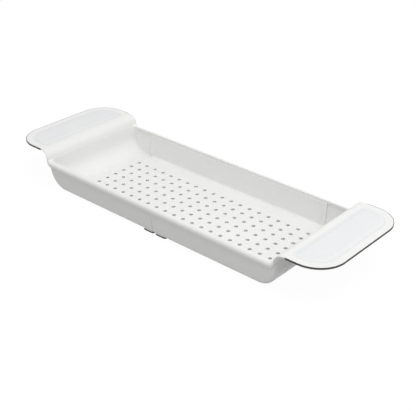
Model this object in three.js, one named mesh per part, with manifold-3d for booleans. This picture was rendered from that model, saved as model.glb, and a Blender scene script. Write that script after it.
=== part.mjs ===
// Expandable bath caddy: a perforated centre tray that lies in two sliding end shells.
// Millimetres, +X along the bath caddy, +Y towards the back, +Z up, feet on Z = 0.
import * as THREE from 'three';
import Module from 'manifold-3d';

const wasm = await Module();
wasm.setup();

// Drain holes, shared by the centre tray and both end shells
const holePitch = 19;
const holeDiameter = 6;
const holeColumnsPerShell = 10;
const holeRows = 7;
const trayHoleSides = 8;
const shellHoleSides = 6;

// Wall thicknesses and running clearances
const trayWall = 2.0;
const shellWall = 2.2;
const wingSheet = 2.4;
const floorClearance = 0.4;
const wallClearance = 1.0;
const topClearance = 0.6;
const seamHalfGap = 0.4;
const cutOverrun = 1.0;

// Centre tray
const trayEndMargin = 2.2;
const trayHalfWidth = 91.0;
const trayHeight = 39.8;
const trayInnerFillet = 3.6;
const trayTopRound = 0.7;
const wallLean = THREE.MathUtils.degToRad(5.25);

// Travel stops: a bead round the mouth of each shell meets a bead on the tray wall
const stopBeadHeight = 0.6;
const stopBeadWidth = 2.5;
const stopBeadBlend = 0.6;
const trayBeadPosition = 120;
const trayBeadRoot = 0.5;
const trayBeadEndClearance = 4.0;

// Upright ribs inside the tray walls, near both ends
const endRibSetback = 2.5;
const endRibWidth = 3.0;
const endRibProud = 0.8;
const endRibFaceShare = 0.5;
const endRibRoot = 0.5;
const endRibTopClearance = 6.0;

// Rubber feet under the seam
const footThickness = 3.0;
const footLength = 22;
const footWidth = 24;
const footMouthDistance = 2.2;
const footOuterOffset = 2.2;
const footCornerRadius = 4;
const footEdgeBevel = 0.5;
const bossMargin = 0.5;
const bossRoot = 4.0;

// End shell, flat part
const shellInnerFillet = 5.0;
const shellOuterFillet = 6.5;
const innerFilletAtRimShare = 0.32;
const outerFilletAtRimShare = 0.6;
const filletFadeHeight = 18;

// End shell, rolled rim
const rimLipHeight = 4.0;
const rimLipOverhang = 1.9;
const rimInnerRound = 2.4;
const rimRollWidth = 5.4;
const rimRollDrop = 5.6;
const skirtDepth = 8.6;
const skirtThickness = 2.2;
const skirtChamfer = 0.5;
const grooveDepthShare = 0.56;

// End shell, S-shaped rise and wing
const riseRunIn = 16.3;
const riseRadius = 28.5;
const crestRadius = 15.2;
const crestTilt = THREE.MathUtils.degToRad(12);
const crestFootRise = 0.8;
const wingHeight = 67.8;
const wingNarrowing = 1.7;
const wingLength = 69.2;
const wingCornerShare = 0.6575;
const wingRollWidth = 2.6;
const wingRollDrop = 1.2;
const wingEdgeBand = 16;

// Grip inlay on the wing
const gripInset = 12.2;
const gripSetback = 4.6;
const gripThickness = 1.9;
const gripProud = 1.0;
const gripInnerCorner = 9;
const gripSideClearance = 0.3;
const gripRollWidth = 6.0;
const gripRollDrop = 0.9;

// Rubber pad under the wing, with a lip that wraps the edge of the wing
const padSetback = 3.6;
const padThickness = 1.3;
const padLipWidth = 1.4;
const padLipDrop = 0.6;
const padClearance = 0.1;
const padInnerCorner = 2;
const padEdgeBevel = 0.5;

// Facet counts
const filletSteps = 4;
const rimInnerSteps = 3;
const rimOuterSteps = 4;
const riseSteps = 9;
const riseUprightSteps = 2;
const cornerBlendSteps = 2;
const crestSteps = 6;
const wingCornerSteps = 8;
const footCornerSteps = 3;
const gripRollSteps = 3;

// Levels that follow from the sizes above
const shellBottom = footThickness;
const shellFloorTop = shellBottom + shellWall;
const trayBottom = shellFloorTop + floorClearance;
const trayFloorTop = trayBottom + trayWall;
const trayTop = trayBottom + trayHeight;
const trayHalfLength = (holeColumnsPerShell - 0.5) * holePitch + holeDiameter / 2 + trayEndMargin;
const rimUnderside = trayTop + topClearance;
const rimCrestHeight = rimUnderside + rimLipHeight;
const riseStart = trayHalfLength + riseRunIn;
const riseDistance = riseStart + riseRadius;
const riseCentreHeight = shellFloorTop + riseRadius;
const crestCentreHeight = wingHeight - crestRadius;
const crestArcStart = crestCentreHeight + crestRadius * Math.sin(crestTilt);
const crestFoot = rimCrestHeight + crestFootRise;
const crestSlopeLength = (crestArcStart - crestFoot) / Math.cos(crestTilt);
const crestArcInset = crestSlopeLength * Math.sin(crestTilt) + crestRadius * Math.cos(crestTilt);
const crestCentre = riseDistance + crestArcInset;
const wingEnd = crestCentre + wingLength;
const wingCornerRadius = wingLength * wingCornerShare;
const gripInnerEnd = crestCentre + gripSetback;
const padInnerEnd = crestCentre + padSetback;
const skirtBottom = rimCrestHeight - skirtDepth;
const grooveTop = rimCrestHeight - skirtDepth * grooveDepthShare;

// Half widths of the leaning walls at a height, measured square to X
const leanAt = (z) => (z - trayFloorTop) * Math.tan(wallLean);
const trayInnerAt = (z) => trayHalfWidth + leanAt(z);
const trayOuterAt = (z) => trayInnerAt(z) + trayWall;
const shellInnerAt = (z) => trayOuterAt(z) + wallClearance;
const shellOuterAt = (z) => shellInnerAt(z) + shellWall;
const rimInnerHalfWidth = shellInnerAt(rimUnderside) - rimLipOverhang;
const rimCrestHalfWidth = rimInnerHalfWidth + rimInnerRound;
const rimOuterHalfWidth = rimCrestHalfWidth + rimRollWidth;
const wingHalfWidth = rimOuterHalfWidth - wingNarrowing;
const footOuterHalfWidth = trayHalfWidth + footOuterOffset;

// Materials
function plastic() {
  return new THREE.MeshStandardMaterial({ color: 0xf1f1ef, roughness: 0.32, metalness: 0 });
}

function softGrip() {
  return new THREE.MeshStandardMaterial({ color: 0xdcdde2, roughness: 0.62, metalness: 0 });
}

function darkRubber() {
  return new THREE.MeshStandardMaterial({ color: 0x3a3a3c, roughness: 0.85, metalness: 0 });
}

// Solids: from a geometry, from triangles, and back to a geometry
function solidFromTriangles(points, triangles) {
  const vertProperties = new Float32Array(points.flatMap((p) => [p.x, p.y, p.z]));
  const triVerts = new Uint32Array(triangles.flat());
  const mesh = new wasm.Mesh({ numProp: 3, vertProperties, triVerts });
  return new wasm.Manifold(mesh);
}

function geometryFromSolid(solid) {
  const mesh = solid.getMesh();
  const geometry = new THREE.BufferGeometry();
  const positions = new THREE.BufferAttribute(mesh.vertProperties, mesh.numProp);
  geometry.setAttribute('position', positions);
  geometry.setIndex(new THREE.BufferAttribute(mesh.triVerts, 1));
  geometry.computeVertexNormals();
  return geometry;
}

function arcAngles(from, to, steps) {
  const angles = [];
  for (let i = 0; i <= steps; i += 1) {
    angles.push(from + ((to - from) * i) / steps);
  }
  return angles;
}

// A prism between two levels, with a bevel at its bottom and a roll round its top where given
function prism(outline, bottom, top, bottomBevel = 0, roll = null) {
  const rings = [];
  if (bottomBevel > 0) {
    rings.push([outline(bottomBevel), bottom]);
    rings.push([outline(0), bottom + bottomBevel]);
  } else {
    rings.push([outline(0), bottom]);
  }
  if (roll) {
    for (const angle of arcAngles(0, Math.PI / 2, roll.steps)) {
      const z = top - roll.drop * (1 - Math.sin(angle));
      rings.push([outline(roll.width * (1 - Math.cos(angle))), z]);
    }
  } else {
    rings.push([outline(0), top]);
  }
  const count = rings[0][0].length;
  const points = rings.flatMap(([ring, z]) => ring.map((p) => new THREE.Vector3(p.x, p.y, z)));
  const triangles = [];
  for (let r = 0; r + 1 < rings.length; r += 1) {
    for (let i = 0; i < count; i += 1) {
      const a = r * count + i;
      const b = r * count + ((i + 1) % count);
      triangles.push([a, b, b + count]);
      triangles.push([a, b + count, a + count]);
    }
  }
  const last = (rings.length - 1) * count;
  for (const [i, j, k] of THREE.ShapeUtils.triangulateShape(rings[0][0], [])) {
    triangles.push([i, k, j]);
  }
  for (const [i, j, k] of THREE.ShapeUtils.triangulateShape(rings[rings.length - 1][0], [])) {
    triangles.push([last + i, last + j, last + k]);
  }
  return solidFromTriangles(points, triangles);
}

// Outline of a plate with its own radius at the inner and at the outer corners
function plateOutline(xInner, xOuter, halfWidth, innerRadius, outerRadius, steps) {
  return (inset) => {
    const corners = [
      [xInner + innerRadius, -halfWidth + innerRadius, innerRadius, Math.PI],
      [xOuter - outerRadius, -halfWidth + outerRadius, outerRadius, 1.5 * Math.PI],
      [xOuter - outerRadius, halfWidth - outerRadius, outerRadius, 0],
      [xInner + innerRadius, halfWidth - innerRadius, innerRadius, Math.PI / 2],
    ];
    const points = [];
    for (const [x, y, radius, start] of corners) {
      for (const angle of arcAngles(start, start + Math.PI / 2, steps)) {
        const reach = radius - inset;
        points.push(new THREE.Vector2(x + reach * Math.cos(angle), y + reach * Math.sin(angle)));
      }
    }
    return points;
  };
}

// Holes at every crossing of the drain grid between two columns, as one cutter
function drainCutter(firstColumn, lastColumn, bottom, top, sides) {
  const points = [];
  const triangles = [];
  const radius = holeDiameter / 2;
  const firstRow = -(holeRows - 1) / 2;
  for (let column = firstColumn; column <= lastColumn; column += 1) {
    for (let row = 0; row < holeRows; row += 1) {
      const x = (column + 0.5) * holePitch;
      const y = (firstRow + row) * holePitch;
      const start = points.length;
      for (let i = 0; i < sides; i += 1) {
        const angle = ((i + 0.5) / sides) * 2 * Math.PI;
        const px = x + radius * Math.cos(angle);
        const py = y + radius * Math.sin(angle);
        points.push(new THREE.Vector3(px, py, bottom));
        points.push(new THREE.Vector3(px, py, top));
      }
      for (let i = 0; i < sides; i += 1) {
        const a = start + 2 * i;
        const b = start + 2 * ((i + 1) % sides);
        triangles.push([a, b, b + 1]);
        triangles.push([a, b + 1, a + 1]);
      }
      for (let i = 1; i + 1 < sides; i += 1) {
        triangles.push([start, start + 2 * (i + 1), start + 2 * i]);
        triangles.push([start + 1, start + 2 * i + 1, start + 2 * (i + 1) + 1]);
      }
    }
  }
  return solidFromTriangles(points, triangles);
}

// A closed body from half sections that start and end at the middle plane's two faces.
// Each half section is mirrored in Y. The first one is capped flat, and the last one
// either is too or is joined by straight strips from side to side.
function bodyFromHalfSections(sections, flatEnd) {
  const count = sections[0].length;
  const points = [];
  for (const section of sections) {
    points.push(...section);
    points.push(...section.map((p) => new THREE.Vector3(p.x, -p.y, p.z)));
  }
  const right = (i, k) => i * 2 * count + k;
  const left = (i, k) => right(i, k) + count;
  const triangles = [];
  const quad = (a, b, c, d) => triangles.push([a, c, b], [a, d, c]);
  const end = count - 1;
  const last = sections.length - 1;
  for (let i = 0; i < last; i += 1) {
    for (let k = 0; k < end; k += 1) {
      quad(right(i, k), right(i, k + 1), right(i + 1, k + 1), right(i + 1, k));
      quad(left(i, k), left(i + 1, k), left(i + 1, k + 1), left(i, k + 1));
    }
    quad(left(i, 0), right(i, 0), right(i + 1, 0), left(i + 1, 0));
    quad(right(i, end), left(i, end), left(i + 1, end), right(i + 1, end));
  }
  triangles.push(...flatCap(points, right, left, count, 0, true));
  if (flatEnd) {
    triangles.push(...flatCap(points, right, left, count, last, false));
  } else {
    for (let k = 0; k < end; k += 1) {
      quad(right(last, k), right(last, k + 1), left(last, k + 1), left(last, k));
    }
  }
  return solidFromTriangles(points, triangles);
}

// Triangles that close one mirrored section in its own plane
function flatCap(points, right, left, count, i, reversed) {
  const loop = [];
  for (let k = 0; k < count; k += 1) {
    loop.push(right(i, k));
  }
  for (let k = count - 1; k >= 0; k -= 1) {
    loop.push(left(i, k));
  }
  const flat = loop.map((index) => new THREE.Vector2(points[index].y, points[index].z));
  const faces = THREE.ShapeUtils.triangulateShape(flat, []);
  return faces.map(([a, b, c]) => (
    reversed ? [loop[a], loop[c], loop[b]] : [loop[a], loop[b], loop[c]]
  ));
}

// The S-shaped rise: a point at a depth inside the basin from the tray-side surface,
// first at an angle of the concave arc and then at a height of the upright part
function risePoint(angle, depth, y) {
  const reach = riseRadius - depth;
  const x = riseStart + reach * Math.sin(angle);
  const z = riseCentreHeight - reach * Math.cos(angle);
  return new THREE.Vector3(x, y, z);
}

function uprightPoint(height, depth, y) {
  return new THREE.Vector3(riseDistance - depth, y, height);
}

// The basin floor: a point at a depth above the tray-side surface
function floorPoint(x, depth, y) {
  return new THREE.Vector3(x, y, shellFloorTop + depth);
}

// Rounded corner between the floor and a leaning wall, from the floor up or back down
function cornerCurve(place, base, radius, halfWidthAt) {
  const centreHeight = place(base + radius, 0).z;
  const centre = halfWidthAt(centreHeight) - radius / Math.cos(wallLean);
  const curve = [];
  for (const angle of arcAngles(0, Math.PI / 2 - wallLean, filletSteps)) {
    const depth = base + radius * (1 - Math.cos(angle));
    curve.push(place(depth, centre + radius * Math.sin(angle)));
  }
  return curve;
}

// Half section of the open basin with its rolled rim
function basinSection(place, bead = 0) {
  const fade = THREE.MathUtils.smoothstep(place(0, 0).z, filletFadeHeight, rimUnderside);
  const innerFillet = shellInnerFillet * THREE.MathUtils.lerp(1, innerFilletAtRimShare, fade);
  const outerFillet = shellOuterFillet * THREE.MathUtils.lerp(1, outerFilletAtRimShare, fade);
  const innerAt = (z) => shellInnerAt(z) - bead;
  const inside = cornerCurve(place, 0, innerFillet, innerAt);
  const outside = cornerCurve(place, -shellWall, outerFillet, shellOuterAt);
  const x = inside[inside.length - 1].x;
  const at = (y, z) => new THREE.Vector3(x, y, z);
  const section = [...inside];
  section.push(at(innerAt(rimUnderside), rimUnderside));
  section.push(at(rimInnerHalfWidth, rimUnderside));
  for (const angle of arcAngles(0, Math.PI / 2, rimInnerSteps)) {
    const y = rimCrestHalfWidth - rimInnerRound * Math.cos(angle);
    const z = rimCrestHeight - rimInnerRound * (1 - Math.sin(angle));
    section.push(at(y, z));
  }
  for (const angle of arcAngles(0, Math.PI / 2, rimOuterSteps).slice(1)) {
    const y = rimCrestHalfWidth + rimRollWidth * Math.sin(angle);
    const z = rimCrestHeight - rimRollDrop * (1 - Math.cos(angle));
    section.push(at(y, z));
  }
  const skirtInner = rimOuterHalfWidth - skirtThickness;
  section.push(at(rimOuterHalfWidth, skirtBottom + skirtChamfer));
  section.push(at(rimOuterHalfWidth - skirtChamfer, skirtBottom));
  section.push(at(skirtInner + skirtChamfer, skirtBottom));
  section.push(at(skirtInner, skirtBottom + skirtChamfer));
  section.push(at(skirtInner, grooveTop));
  section.push(at(shellOuterAt(grooveTop), grooveTop));
  section.push(...outside.reverse());
  return section;
}

// Half section of the sheet that the crest and the wing are made of, with a rolled edge.
// place(inset, height) gives the point at an inset from the outline.
function sheetSection(place) {
  const section = [];
  const topCount = filletSteps + rimInnerSteps + 3;
  for (let i = 0; i <= topCount; i += 1) {
    section.push(place(THREE.MathUtils.lerp(wingEdgeBand, wingRollWidth, i / topCount), 0));
  }
  for (const angle of arcAngles(0, Math.PI / 2, rimOuterSteps).slice(1)) {
    const inset = wingRollWidth * (1 - Math.sin(angle));
    section.push(place(inset, -wingRollDrop * (1 - Math.cos(angle))));
  }
  section.push(place(0, skirtChamfer - wingSheet));
  section.push(place(skirtChamfer, -wingSheet));
  section.push(place(skirtThickness - skirtChamfer, -wingSheet));
  section.push(place(skirtThickness, -wingSheet));
  const bottomCount = filletSteps + 2;
  for (let i = 0; i <= bottomCount; i += 1) {
    const share = (i + 1) / (bottomCount + 1);
    section.push(place(THREE.MathUtils.lerp(skirtThickness, wingEdgeBand, share), -wingSheet));
  }
  return section;
}

// Places for the sheet sections: on the convex crest, and along the plan outline.
// The drop carries a place straight down the slope that leads to the crest.
function crestPlace(angle, drop = 0) {
  const share = (Math.sin(angle) - Math.sin(crestTilt)) / (1 - Math.sin(crestTilt));
  const halfWidth = THREE.MathUtils.lerp(rimOuterHalfWidth, wingHalfWidth, share);
  return (inset, height) => {
    const reach = crestRadius + height;
    const x = crestCentre - reach * Math.cos(angle) - drop * Math.sin(crestTilt);
    const z = crestCentreHeight + reach * Math.sin(angle) - drop * Math.cos(crestTilt);
    return new THREE.Vector3(x, halfWidth - inset, z);
  };
}

function wingPlace(angle) {
  const cornerX = wingEnd - wingCornerRadius;
  const cornerY = wingHalfWidth - wingCornerRadius;
  return (inset, height) => {
    const reach = wingCornerRadius - inset;
    const x = cornerX + reach * Math.sin(angle);
    const y = cornerY + reach * Math.cos(angle);
    return new THREE.Vector3(x, y, wingHeight + height);
  };
}

function blendSections(from, to, share) {
  return from.map((point, i) => point.clone().lerp(to[i], share));
}

// Half sections of an end shell, from its mouth at the seam to the end of its wing
function shellSections() {
  const flat = (x) => (depth, y) => floorPoint(x, depth, y);
  const rise = (angle) => (depth, y) => risePoint(angle, depth, y);
  const upright = (height) => (depth, y) => uprightPoint(height, depth, y);
  const beadEnd = seamHalfGap + stopBeadWidth;
  const sections = [
    basinSection(flat(seamHalfGap), stopBeadHeight),
    basinSection(flat(beadEnd), stopBeadHeight),
    basinSection(flat(beadEnd + stopBeadBlend)),
  ];
  for (const angle of arcAngles(0, Math.PI / 2, riseSteps)) {
    sections.push(basinSection(rise(angle)));
  }
  for (let i = 1; i <= riseUprightSteps; i += 1) {
    const share = i / (riseUprightSteps + 1);
    const height = THREE.MathUtils.lerp(riseCentreHeight, rimUnderside, share);
    sections.push(basinSection(upright(height)));
  }
  const lastBasin = sections[sections.length - 1];
  const firstSheet = sheetSection(crestPlace(crestTilt, crestSlopeLength));
  for (let i = 1; i <= cornerBlendSteps; i += 1) {
    sections.push(blendSections(lastBasin, firstSheet, i / (cornerBlendSteps + 1)));
  }
  sections.push(firstSheet);
  for (const angle of arcAngles(crestTilt, Math.PI / 2, crestSteps)) {
    sections.push(sheetSection(crestPlace(angle)));
  }
  for (const angle of arcAngles(0, Math.PI / 2, wingCornerSteps)) {
    sections.push(sheetSection(wingPlace(angle)));
  }
  return sections;
}

// Solid block that fills the rounded corner above a foot, so that the foot has a flat seat
function footBoss(side) {
  const inner = footOuterHalfWidth - footWidth - bossMargin;
  const outer = footOuterHalfWidth + bossMargin;
  const xInner = seamHalfGap + footMouthDistance - bossMargin;
  const xOuter = xInner + footLength + 2 * bossMargin;
  const corner = footCornerRadius + bossMargin;
  const middle = (side * (inner + outer)) / 2;
  const half = (outer - inner) / 2;
  const outline = plateOutline(xInner, xOuter, half, corner, corner, footCornerSteps);
  const shifted = (inset) => outline(inset).map((p) => new THREE.Vector2(p.x, p.y + middle));
  return prism(shifted, shellBottom, shellBottom + bossRoot);
}

function footSolid(side) {
  const xInner = seamHalfGap + footMouthDistance;
  const xOuter = xInner + footLength;
  const middle = side * (footOuterHalfWidth - footWidth / 2);
  const corner = footCornerRadius;
  const outline = plateOutline(xInner, xOuter, footWidth / 2, corner, corner, footCornerSteps);
  const shifted = (inset) => outline(inset).map((p) => new THREE.Vector2(p.x, p.y + middle));
  return prism(shifted, 0, footThickness, footEdgeBevel);
}

// Plan outline of the grip inlay, grown by a clearance for its recess
function gripOutline(grow) {
  return plateOutline(
    gripInnerEnd - grow,
    wingEnd - gripInset + grow,
    wingHalfWidth - gripInset + grow,
    gripInnerCorner + grow,
    wingCornerRadius - gripInset + grow,
    wingCornerSteps,
  );
}

function gripSolid() {
  const bottom = wingHeight + gripProud - gripThickness;
  const roll = { width: gripRollWidth, drop: gripRollDrop, steps: gripRollSteps };
  return prism(gripOutline(0), bottom, wingHeight + gripProud, 0, roll);
}

function gripRecess() {
  const bottom = wingHeight + gripProud - gripThickness;
  return prism(gripOutline(gripSideClearance), bottom, wingHeight + cutOverrun);
}

// Plan outline of the pad, inset from the outline of the wing on its three outer sides
function padOutline(xInner, outset) {
  return plateOutline(
    xInner,
    wingEnd + outset,
    wingHalfWidth + outset,
    padInnerCorner,
    wingCornerRadius + outset,
    wingCornerSteps,
  );
}

function padSolid() {
  const seat = wingHeight - wingSheet;
  const lipTop = wingHeight - padLipDrop;
  const plate = prism(padOutline(padInnerEnd, 0), seat - padThickness, lipTop, padEdgeBevel);
  const inner = padInnerEnd - cutOverrun;
  const sheet = prism(padOutline(inner, -padLipWidth), seat, lipTop + cutOverrun);
  return plate.subtract(sheet);
}

// The room for the lip of the pad round the edge of the wing
function padRebate() {
  const seat = wingHeight - wingSheet;
  const top = wingHeight - padLipDrop + padClearance;
  const inner = padInnerEnd - padClearance;
  const whole = prism(padOutline(inner, cutOverrun), seat - cutOverrun, top);
  const kept = padOutline(inner - cutOverrun, -padLipWidth - padClearance);
  return whole.subtract(prism(kept, seat - 2 * cutOverrun, top + cutOverrun));
}

function shellSolid() {
  const bottom = shellBottom - cutOverrun;
  const top = shellFloorTop + cutOverrun;
  const drains = drainCutter(0, holeColumnsPerShell - 1, bottom, top, shellHoleSides);
  const body = bodyFromHalfSections(shellSections(), false);
  const inside = basinFill();
  const bosses = footBoss(1).add(footBoss(-1)).subtract(inside);
  return body.add(bosses).subtract(drains).subtract(gripRecess()).subtract(padRebate());
}

// The hollow of the shell near its mouth, which trims the foot bosses
function basinFill() {
  const length = footMouthDistance + footLength + footWidth;
  const half = (x) => {
    const place = (depth, y) => floorPoint(x, depth, y);
    const curve = cornerCurve(place, 0, shellInnerFillet, shellInnerAt);
    const top = new THREE.Vector3(x, shellInnerAt(rimUnderside), rimUnderside);
    const middle = new THREE.Vector3(x, shellInnerAt(rimUnderside) / 2, rimUnderside);
    return [middle, top, ...curve.reverse()];
  };
  return bodyFromHalfSections([half(0), half(length)], true);
}

// Section of the centre tray, closed, in Y and Z
function trayOutline() {
  const place = (depth, y) => new THREE.Vector3(0, y, trayFloorTop + depth);
  const outerFillet = trayInnerFillet + trayWall;
  const inner = cornerCurve(place, 0, trayInnerFillet, trayInnerAt);
  const outer = cornerCurve(place, -trayWall, outerFillet, trayOuterAt);
  const half = [...inner];
  const middle = (trayInnerAt(trayTop) + trayOuterAt(trayTop)) / 2;
  const topHalf = trayWall / 2 - trayTopRound;
  half.push(new THREE.Vector3(0, trayInnerAt(trayTop - trayTopRound), trayTop - trayTopRound));
  half.push(new THREE.Vector3(0, middle - topHalf, trayTop));
  half.push(new THREE.Vector3(0, middle + topHalf, trayTop));
  half.push(new THREE.Vector3(0, trayOuterAt(trayTop - trayTopRound), trayTop - trayTopRound));
  half.push(...outer.reverse());
  return half;
}

// A block with six faces from its corners: four at low X and four at high X
function blockSolid(points, flipped) {
  const faces = [[3, 2, 1, 0], [4, 5, 6, 7], [0, 1, 5, 4], [1, 2, 6, 5], [2, 3, 7, 6], [3, 0, 4, 7]];
  const triangles = faces.flatMap(([a, b, c, d]) => (
    flipped ? [[a, c, b], [a, d, c]] : [[a, b, c], [a, c, d]]
  ));
  return solidFromTriangles(points, triangles);
}

// Upright bead on the outside of one tray wall near one end
function trayBead(end, side) {
  const low = trayBottom + trayInnerFillet + trayWall + trayBeadEndClearance;
  const high = trayTop - trayBeadEndClearance;
  const start = end > 0 ? trayBeadPosition : -trayBeadPosition - stopBeadWidth;
  const points = [];
  for (const x of [start, start + stopBeadWidth]) {
    points.push(new THREE.Vector3(x, side * (trayOuterAt(low) - trayBeadRoot), low));
    points.push(new THREE.Vector3(x, side * (trayOuterAt(low) + stopBeadHeight), low));
    points.push(new THREE.Vector3(x, side * (trayOuterAt(high) + stopBeadHeight), high));
    points.push(new THREE.Vector3(x, side * (trayOuterAt(high) - trayBeadRoot), high));
  }
  return blockSolid(points, side < 0);
}

// Upright rib on the inside of one tray wall, narrower at its face and sloped off at its top
function endRib(end, side) {
  const low = trayFloorTop - endRibRoot;
  const high = trayTop - endRibTopClearance;
  const middle = end * (trayHalfLength - endRibSetback - endRibWidth / 2);
  const points = [];
  for (const way of [-1, 1]) {
    const root = middle + (way * endRibWidth) / 2;
    const face = middle + (way * endRibWidth * endRibFaceShare) / 2;
    const faceHigh = high - endRibProud;
    points.push(new THREE.Vector3(face, side * (trayInnerAt(low) - endRibProud), low));
    points.push(new THREE.Vector3(root, side * (trayInnerAt(low) + endRibRoot), low));
    points.push(new THREE.Vector3(root, side * (trayInnerAt(high) + endRibRoot), high));
    points.push(new THREE.Vector3(face, side * (trayInnerAt(faceHigh) - endRibProud), faceHigh));
  }
  return blockSolid(points, side < 0);
}

function traySolid() {
  const at = (x) => trayOutline().map((p) => new THREE.Vector3(x, p.y, p.z));
  const body = bodyFromHalfSections([at(-trayHalfLength), at(trayHalfLength)], true);
  const bottom = trayBottom - cutOverrun;
  const top = trayFloorTop + cutOverrun;
  const last = holeColumnsPerShell - 1;
  const drains = drainCutter(-holeColumnsPerShell, last, bottom, top, trayHoleSides);
  let whole = body;
  for (const end of [-1, 1]) {
    for (const side of [-1, 1]) {
      whole = whole.add(trayBead(end, side)).add(endRib(end, side));
    }
  }
  return whole.subtract(drains);
}

function namedMesh(name, solid, material) {
  const mesh = new THREE.Mesh(geometryFromSolid(solid), material);
  mesh.name = name;
  return mesh;
}

// One end of the bath caddy, built at +X, with everything that slides with it
function endGroup(label, front, back) {
  const group = new THREE.Group();
  group.add(namedMesh(`end_shell_${label}`, shellSolid(), plastic()));
  group.add(namedMesh(`grip_inlay_${label}`, gripSolid(), softGrip()));
  group.add(namedMesh(`wing_pad_${label}`, padSolid(), darkRubber()));
  group.add(namedMesh(`foot_${label}_front`, footSolid(front), darkRubber()));
  group.add(namedMesh(`foot_${label}_back`, footSolid(back), darkRubber()));
  return group;
}

const caddy = new THREE.Group();
caddy.add(namedMesh('centre_tray', traySolid(), plastic()));
caddy.add(endGroup('right', -1, 1));
const leftEnd = endGroup('left', 1, -1);
leftEnd.rotation.z = Math.PI;
caddy.add(leftEnd);

export default caddy;
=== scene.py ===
"""Expandable bath caddy: a perforated centre tray that lies in two sliding end shells.

The sizes of the pieces are in millimetres below and in metres in the meshes. The floor
and the places of the lamps and the camera are in metres throughout.
"""

import math

import bmesh
import bpy
import numpy as np
from mathutils import Matrix, Vector


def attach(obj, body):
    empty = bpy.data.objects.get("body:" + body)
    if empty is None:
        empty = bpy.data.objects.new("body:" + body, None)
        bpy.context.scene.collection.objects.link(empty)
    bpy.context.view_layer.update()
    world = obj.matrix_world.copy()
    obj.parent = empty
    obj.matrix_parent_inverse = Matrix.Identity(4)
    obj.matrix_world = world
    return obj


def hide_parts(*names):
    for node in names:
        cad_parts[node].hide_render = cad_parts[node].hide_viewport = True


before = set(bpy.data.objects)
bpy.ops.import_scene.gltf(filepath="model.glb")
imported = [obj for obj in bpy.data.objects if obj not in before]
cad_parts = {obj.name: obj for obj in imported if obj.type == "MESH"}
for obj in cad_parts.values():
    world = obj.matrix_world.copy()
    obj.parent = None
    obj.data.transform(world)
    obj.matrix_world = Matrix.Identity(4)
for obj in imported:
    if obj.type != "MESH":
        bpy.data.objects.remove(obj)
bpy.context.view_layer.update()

MM = 0.001
HALF_TURN = math.pi
QUARTER_TURN = math.pi / 2

# Drain holes
HOLE_PITCH = 19.0
HOLE_RADIUS = 3.25
HOLE_COLUMNS_PER_SHELL = 10
HOLE_ROWS = 7
HOLE_SIDES = 36
HOLE_FLARE = 0.45
HOLE_FLARE_STEPS = 4

# Walls and running clearances
TRAY_WALL = 2.0
SHELL_WALL = 2.2
WING_SHEET = 2.4
FLOOR_CLEARANCE = 0.4
WALL_CLEARANCE = 1.0
TOP_CLEARANCE = 0.12
SEAM_HALF_GAP = 0.4
RIM_SEAM_HALF_GAP = 0.05
OVERRUN = 1.0

# Centre tray
TRAY_END_MARGIN = 1.95
TRAY_HALF_WIDTH = 91.0
TRAY_HEIGHT = 40.28
TRAY_INNER_FILLET = 3.6
TRAY_TOP_ROUND = 0.3
TRAY_END_FLARE = 0.8
TRAY_END_FLARE_DEPTH = 0.25
TRAY_END_FLARE_LENGTH = 2.4
TRAY_END_RAMP = 3.0
TRAY_END_RAMP_DROP = 1.4
TRAY_END_RAMP_SHARES = (1 / 3, 2 / 3)
LEAN = math.radians(5.25)

# Travel stops
BEAD_HEIGHT = 0.6
BEAD_WIDTH = 2.5
BEAD_BLEND = 0.6
TRAY_BEAD_POSITION = 120.0
TRAY_BEAD_ROOT = 0.5
TRAY_BEAD_END_CLEARANCE = 4.0

# Upright ribs inside the tray walls
RIB_SETBACK = 2.8
RIB_WIDTH = 2.4
RIB_PROUD = 1.8
RIB_NOSE = 0.5
RIB_ROOT = 0.5
RIB_TOP_CLEARANCE = 6.0
RIB_TOP_FADE = 1.5

# Feet
FOOT_THICKNESS = 3.0
FOOT_LENGTH = 22.0
FOOT_WIDTH = 24.0
FOOT_MOUTH_DISTANCE = 1.0
FOOT_OUTER_OFFSET = 2.2
FOOT_CORNER_RADIUS = 4.0
FOOT_EDGE_ROUND = 0.5
BOSS_MARGIN = 0.5
BOSS_ROOT = 4.0
BOSS_SINK = 0.4

# End shell, flat part and rolled rim
SHELL_INNER_FILLET = 5.0
SHELL_OUTER_FILLET = 6.5
INNER_FILLET_AT_RIM = 1.5
OUTER_FILLET_AT_RIM = 0.6
FILLET_FADE_HEIGHT = 18.0
RIM_LIP_HEIGHT = 4.0
RIM_LIP_OVERHANG = 1.9
RIM_INNER_ROUND = 0.5
RIM_SHOULDER = 2.4
RIM_SHOULDER_DROP = 0.35
RIM_ROLL_WIDTH = 5.4
RIM_ROLL_DROP = 5.25
RIM_LIP_ROUND = 0.25
SKIRT_DEPTH = 8.6
SKIRT_THICKNESS = 2.2
SKIRT_ROUND = 0.9
GROOVE_DEPTH_SHARE = 0.56

# End shell, S-shaped rise and wing
RISE_RUN_IN = 16.3
RISE_RADIUS = 28.5
CREST_RADIUS = 15.2
CREST_TILT = math.radians(12)
CREST_FOOT_RISE = 0.8
CREST_SIDE_SLOPE_SHARE = 0.15
WING_HEIGHT = 67.8
WING_NARROWING = 1.7
WING_LENGTH = 69.2
WING_CORNER_SHARE = 0.6575
WING_ROLL_WIDTH = 2.6
WING_ROLL_DROP = 1.2
WING_EDGE_BAND = 16.0
WING_SKIRT_SHARE = 0.75

# Grip inlay on the wing
GRIP_INSET = 12.2
GRIP_SETBACK = 4.6
GRIP_THICKNESS = 1.9
GRIP_PROUD = 1.0
GRIP_INNER_CORNER = 9.0
GRIP_SIDE_CLEARANCE = 0.1
GRIP_FLAT_EDGE = 3.0
GRIP_ROLL_WIDTH = 5.5
GRIP_ROLL_DROP = 0.9

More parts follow.
